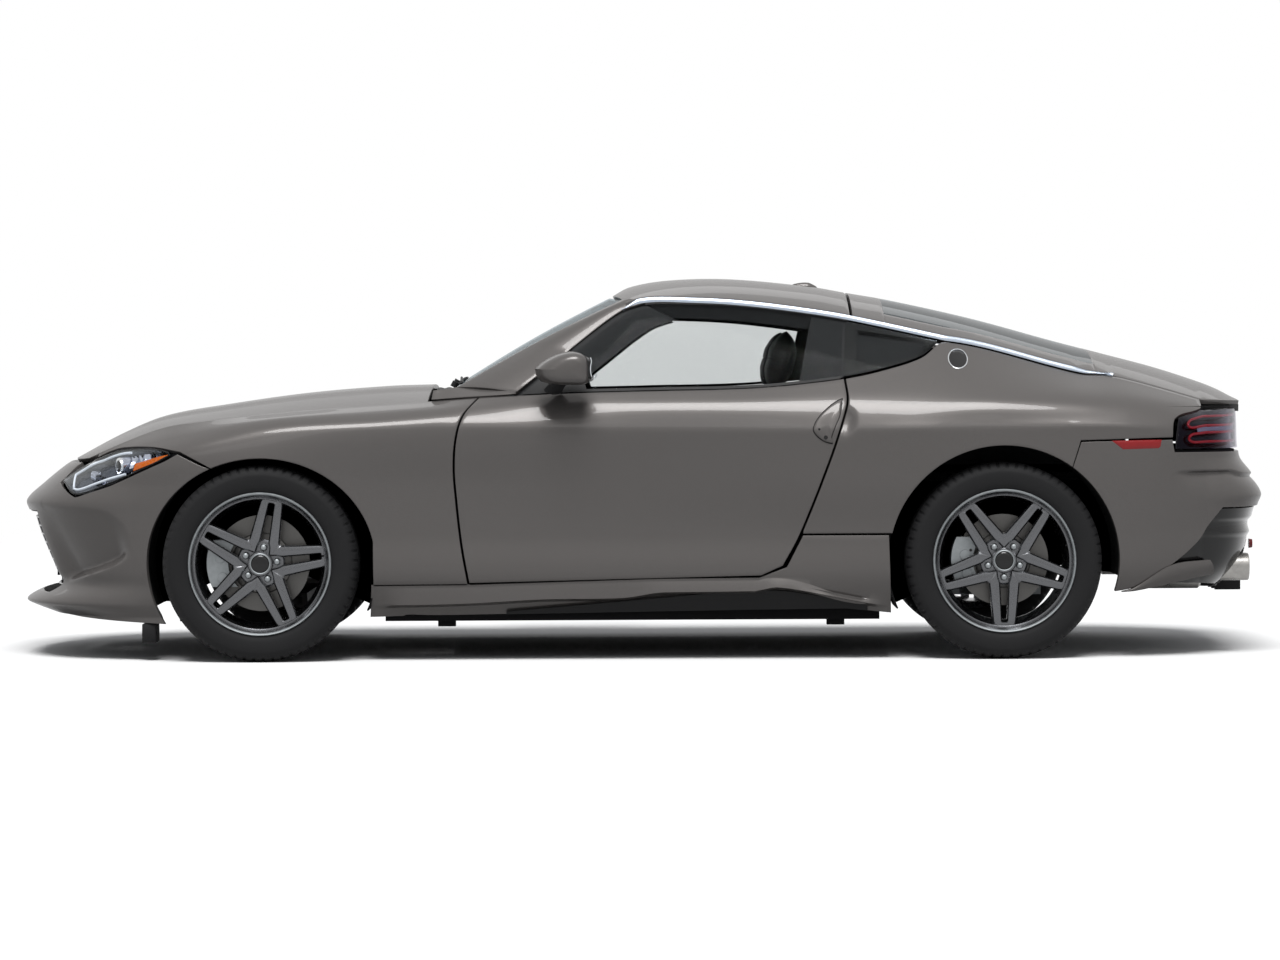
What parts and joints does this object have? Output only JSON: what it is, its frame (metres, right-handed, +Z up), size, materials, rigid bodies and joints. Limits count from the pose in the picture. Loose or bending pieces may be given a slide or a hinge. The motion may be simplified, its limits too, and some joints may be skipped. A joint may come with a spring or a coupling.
{
  "type": "coupe car",
  "caption": "Low two-seat fastback coupe with doors, bonnet, glazed hatch, steered front wheels and a hollow furnished cabin.",
  "frame": {"origin": "on the ground, midway between nose and tail on the centre plane", "axes": "+X towards the tail, +Y to the car's right side, +Z up; the nose faces -X"},
  "size_m": [4.3878, 2.04, 1.3199],
  "materials": {
    "body_paint": "warm metallic grey under clear coat",
    "satin_strip": "satin silver",
    "glass": "dark tinted",
    "lamp_lens": "clear lens",
    "tail_lens": "smoked red",
    "black_trim": "grained",
    "gloss_black": "gloss",
    "underbody": "dull coat",
    "steel": "satin",
    "cast_parts": "as cast",
    "cabin_trim": "soft",
    "upholstery": "grained",
    "tyre": "matt",
    "alloy": "dark graphite",
    "disc_iron": "machined",
    "mirror": "polished"
  },
  "bodies": {
    "root": {"floor_pan": "underbody", "front_wings": "body_paint", "rear_quarters": "body_paint", "roof": "body_paint", "windshield": "glass", "quarter_windows": "glass", "front_bumper": "body_paint", "grille": "black_trim", "headlights": "lamp_lens", "rear_bumper": "body_paint", "tail_lights": "tail_lens", "diffuser": "black_trim", "exhaust": "steel", "side_skirts": "body_paint", "dashboard": "cabin_trim", "seats": "upholstery", "front_subframe": "cast_parts", "rear_subframe": "cast_parts", "engine": "cast_parts", "arch_liners": "black_trim", "cowl": "black_trim", "plate_carrier": "black_trim"},
    "bonnet": {"bonnet": "body_paint"},
    "hatch": {"hatch": "body_paint", "hatch_glass": "glass"},
    "door_left": {"door_left": "body_paint", "door_glass_left": "glass", "mirror_left": "body_paint"},
    "door_right": {"door_right": "body_paint", "door_glass_right": "glass", "mirror_right": "body_paint"},
    "steering_wheel": {"steering_wheel": "cabin_trim"},
    "knuckle_left": {"front_knuckle_left": "cast_parts"},
    "knuckle_right": {"front_knuckle_right": "cast_parts"},
    "wheel_front_left": {"tyre_front_left": "tyre", "rim_front_left": "alloy", "brake_disc_front_left": "disc_iron"},
    "wheel_front_right": {"tyre_front_right": "tyre", "rim_front_right": "alloy", "brake_disc_front_right": "disc_iron"},
    "wheel_rear_left": {"tyre_rear_left": "tyre", "rim_rear_left": "alloy", "brake_disc_rear_left": "disc_iron"},
    "wheel_rear_right": {"tyre_rear_right": "tyre", "rim_rear_right": "alloy", "brake_disc_rear_right": "disc_iron"}
  },
  "joints": [
    {"name": "door_left_hinge", "type": "hinge", "parent": "root", "child": "door_left", "pos_m": [-0.61, -0.88, 0.6], "axis": [0, 0, -1], "range_deg": [0, 65]},
    {"name": "door_right_hinge", "type": "hinge", "parent": "root", "child": "door_right", "pos_m": [-0.61, 0.88, 0.6], "axis": [0, 0, 1], "range_deg": [0, 65]},
    {"name": "bonnet_hinge", "type": "hinge", "parent": "root", "child": "bonnet", "pos_m": [-0.69, 0, 0.9], "axis": [0, 1, 0], "range_deg": [0, 50]},
    {"name": "hatch_hinge", "type": "hinge", "parent": "root", "child": "hatch", "pos_m": [0.737, 0, 1.272], "axis": [0, -1, 0], "range_deg": [0, 65]},
    {"name": "steering_wheel_turn", "type": "hinge", "parent": "root", "child": "steering_wheel", "pos_m": [-0.24, -0.355, 0.8], "axis": [0.9272, 0, 0.3746], "range_deg": [-490, 490]},
    {"name": "steer_left", "type": "hinge", "parent": "root", "child": "knuckle_left", "pos_m": [-1.305, -0.7095, 0.337], "axis": [0, 0, 1], "range_deg": [-35, 35]},
    {"name": "steer_right", "type": "hinge", "parent": "root", "child": "knuckle_right", "pos_m": [-1.305, 0.7095, 0.337], "axis": [0, 0, 1], "range_deg": [-35, 35]},
    {"name": "front_left_spin", "type": "hinge", "parent": "knuckle_left", "child": "wheel_front_left", "pos_m": [-1.305, -0.7755, 0.337], "axis": [0, 1, 0], "continuous": true},
    {"name": "front_right_spin", "type": "hinge", "parent": "knuckle_right", "child": "wheel_front_right", "pos_m": [-1.305, 0.7755, 0.337], "axis": [0, 1, 0], "continuous": true},
    {"name": "rear_left_spin", "type": "hinge", "parent": "root", "child": "wheel_rear_left", "pos_m": [1.245, -0.7755, 0.337], "axis": [0, 1, 0], "continuous": true},
    {"name": "rear_right_spin", "type": "hinge", "parent": "root", "child": "wheel_rear_right", "pos_m": [1.245, 0.7755, 0.337], "axis": [0, 1, 0], "continuous": true}
  ],
  "couplings": [
    {"joint": "steer_right", "follows": "steer_left", "ratio": 1},
    {"joint": "steering_wheel_turn", "follows": "steer_left", "ratio": 14}
  ]
}
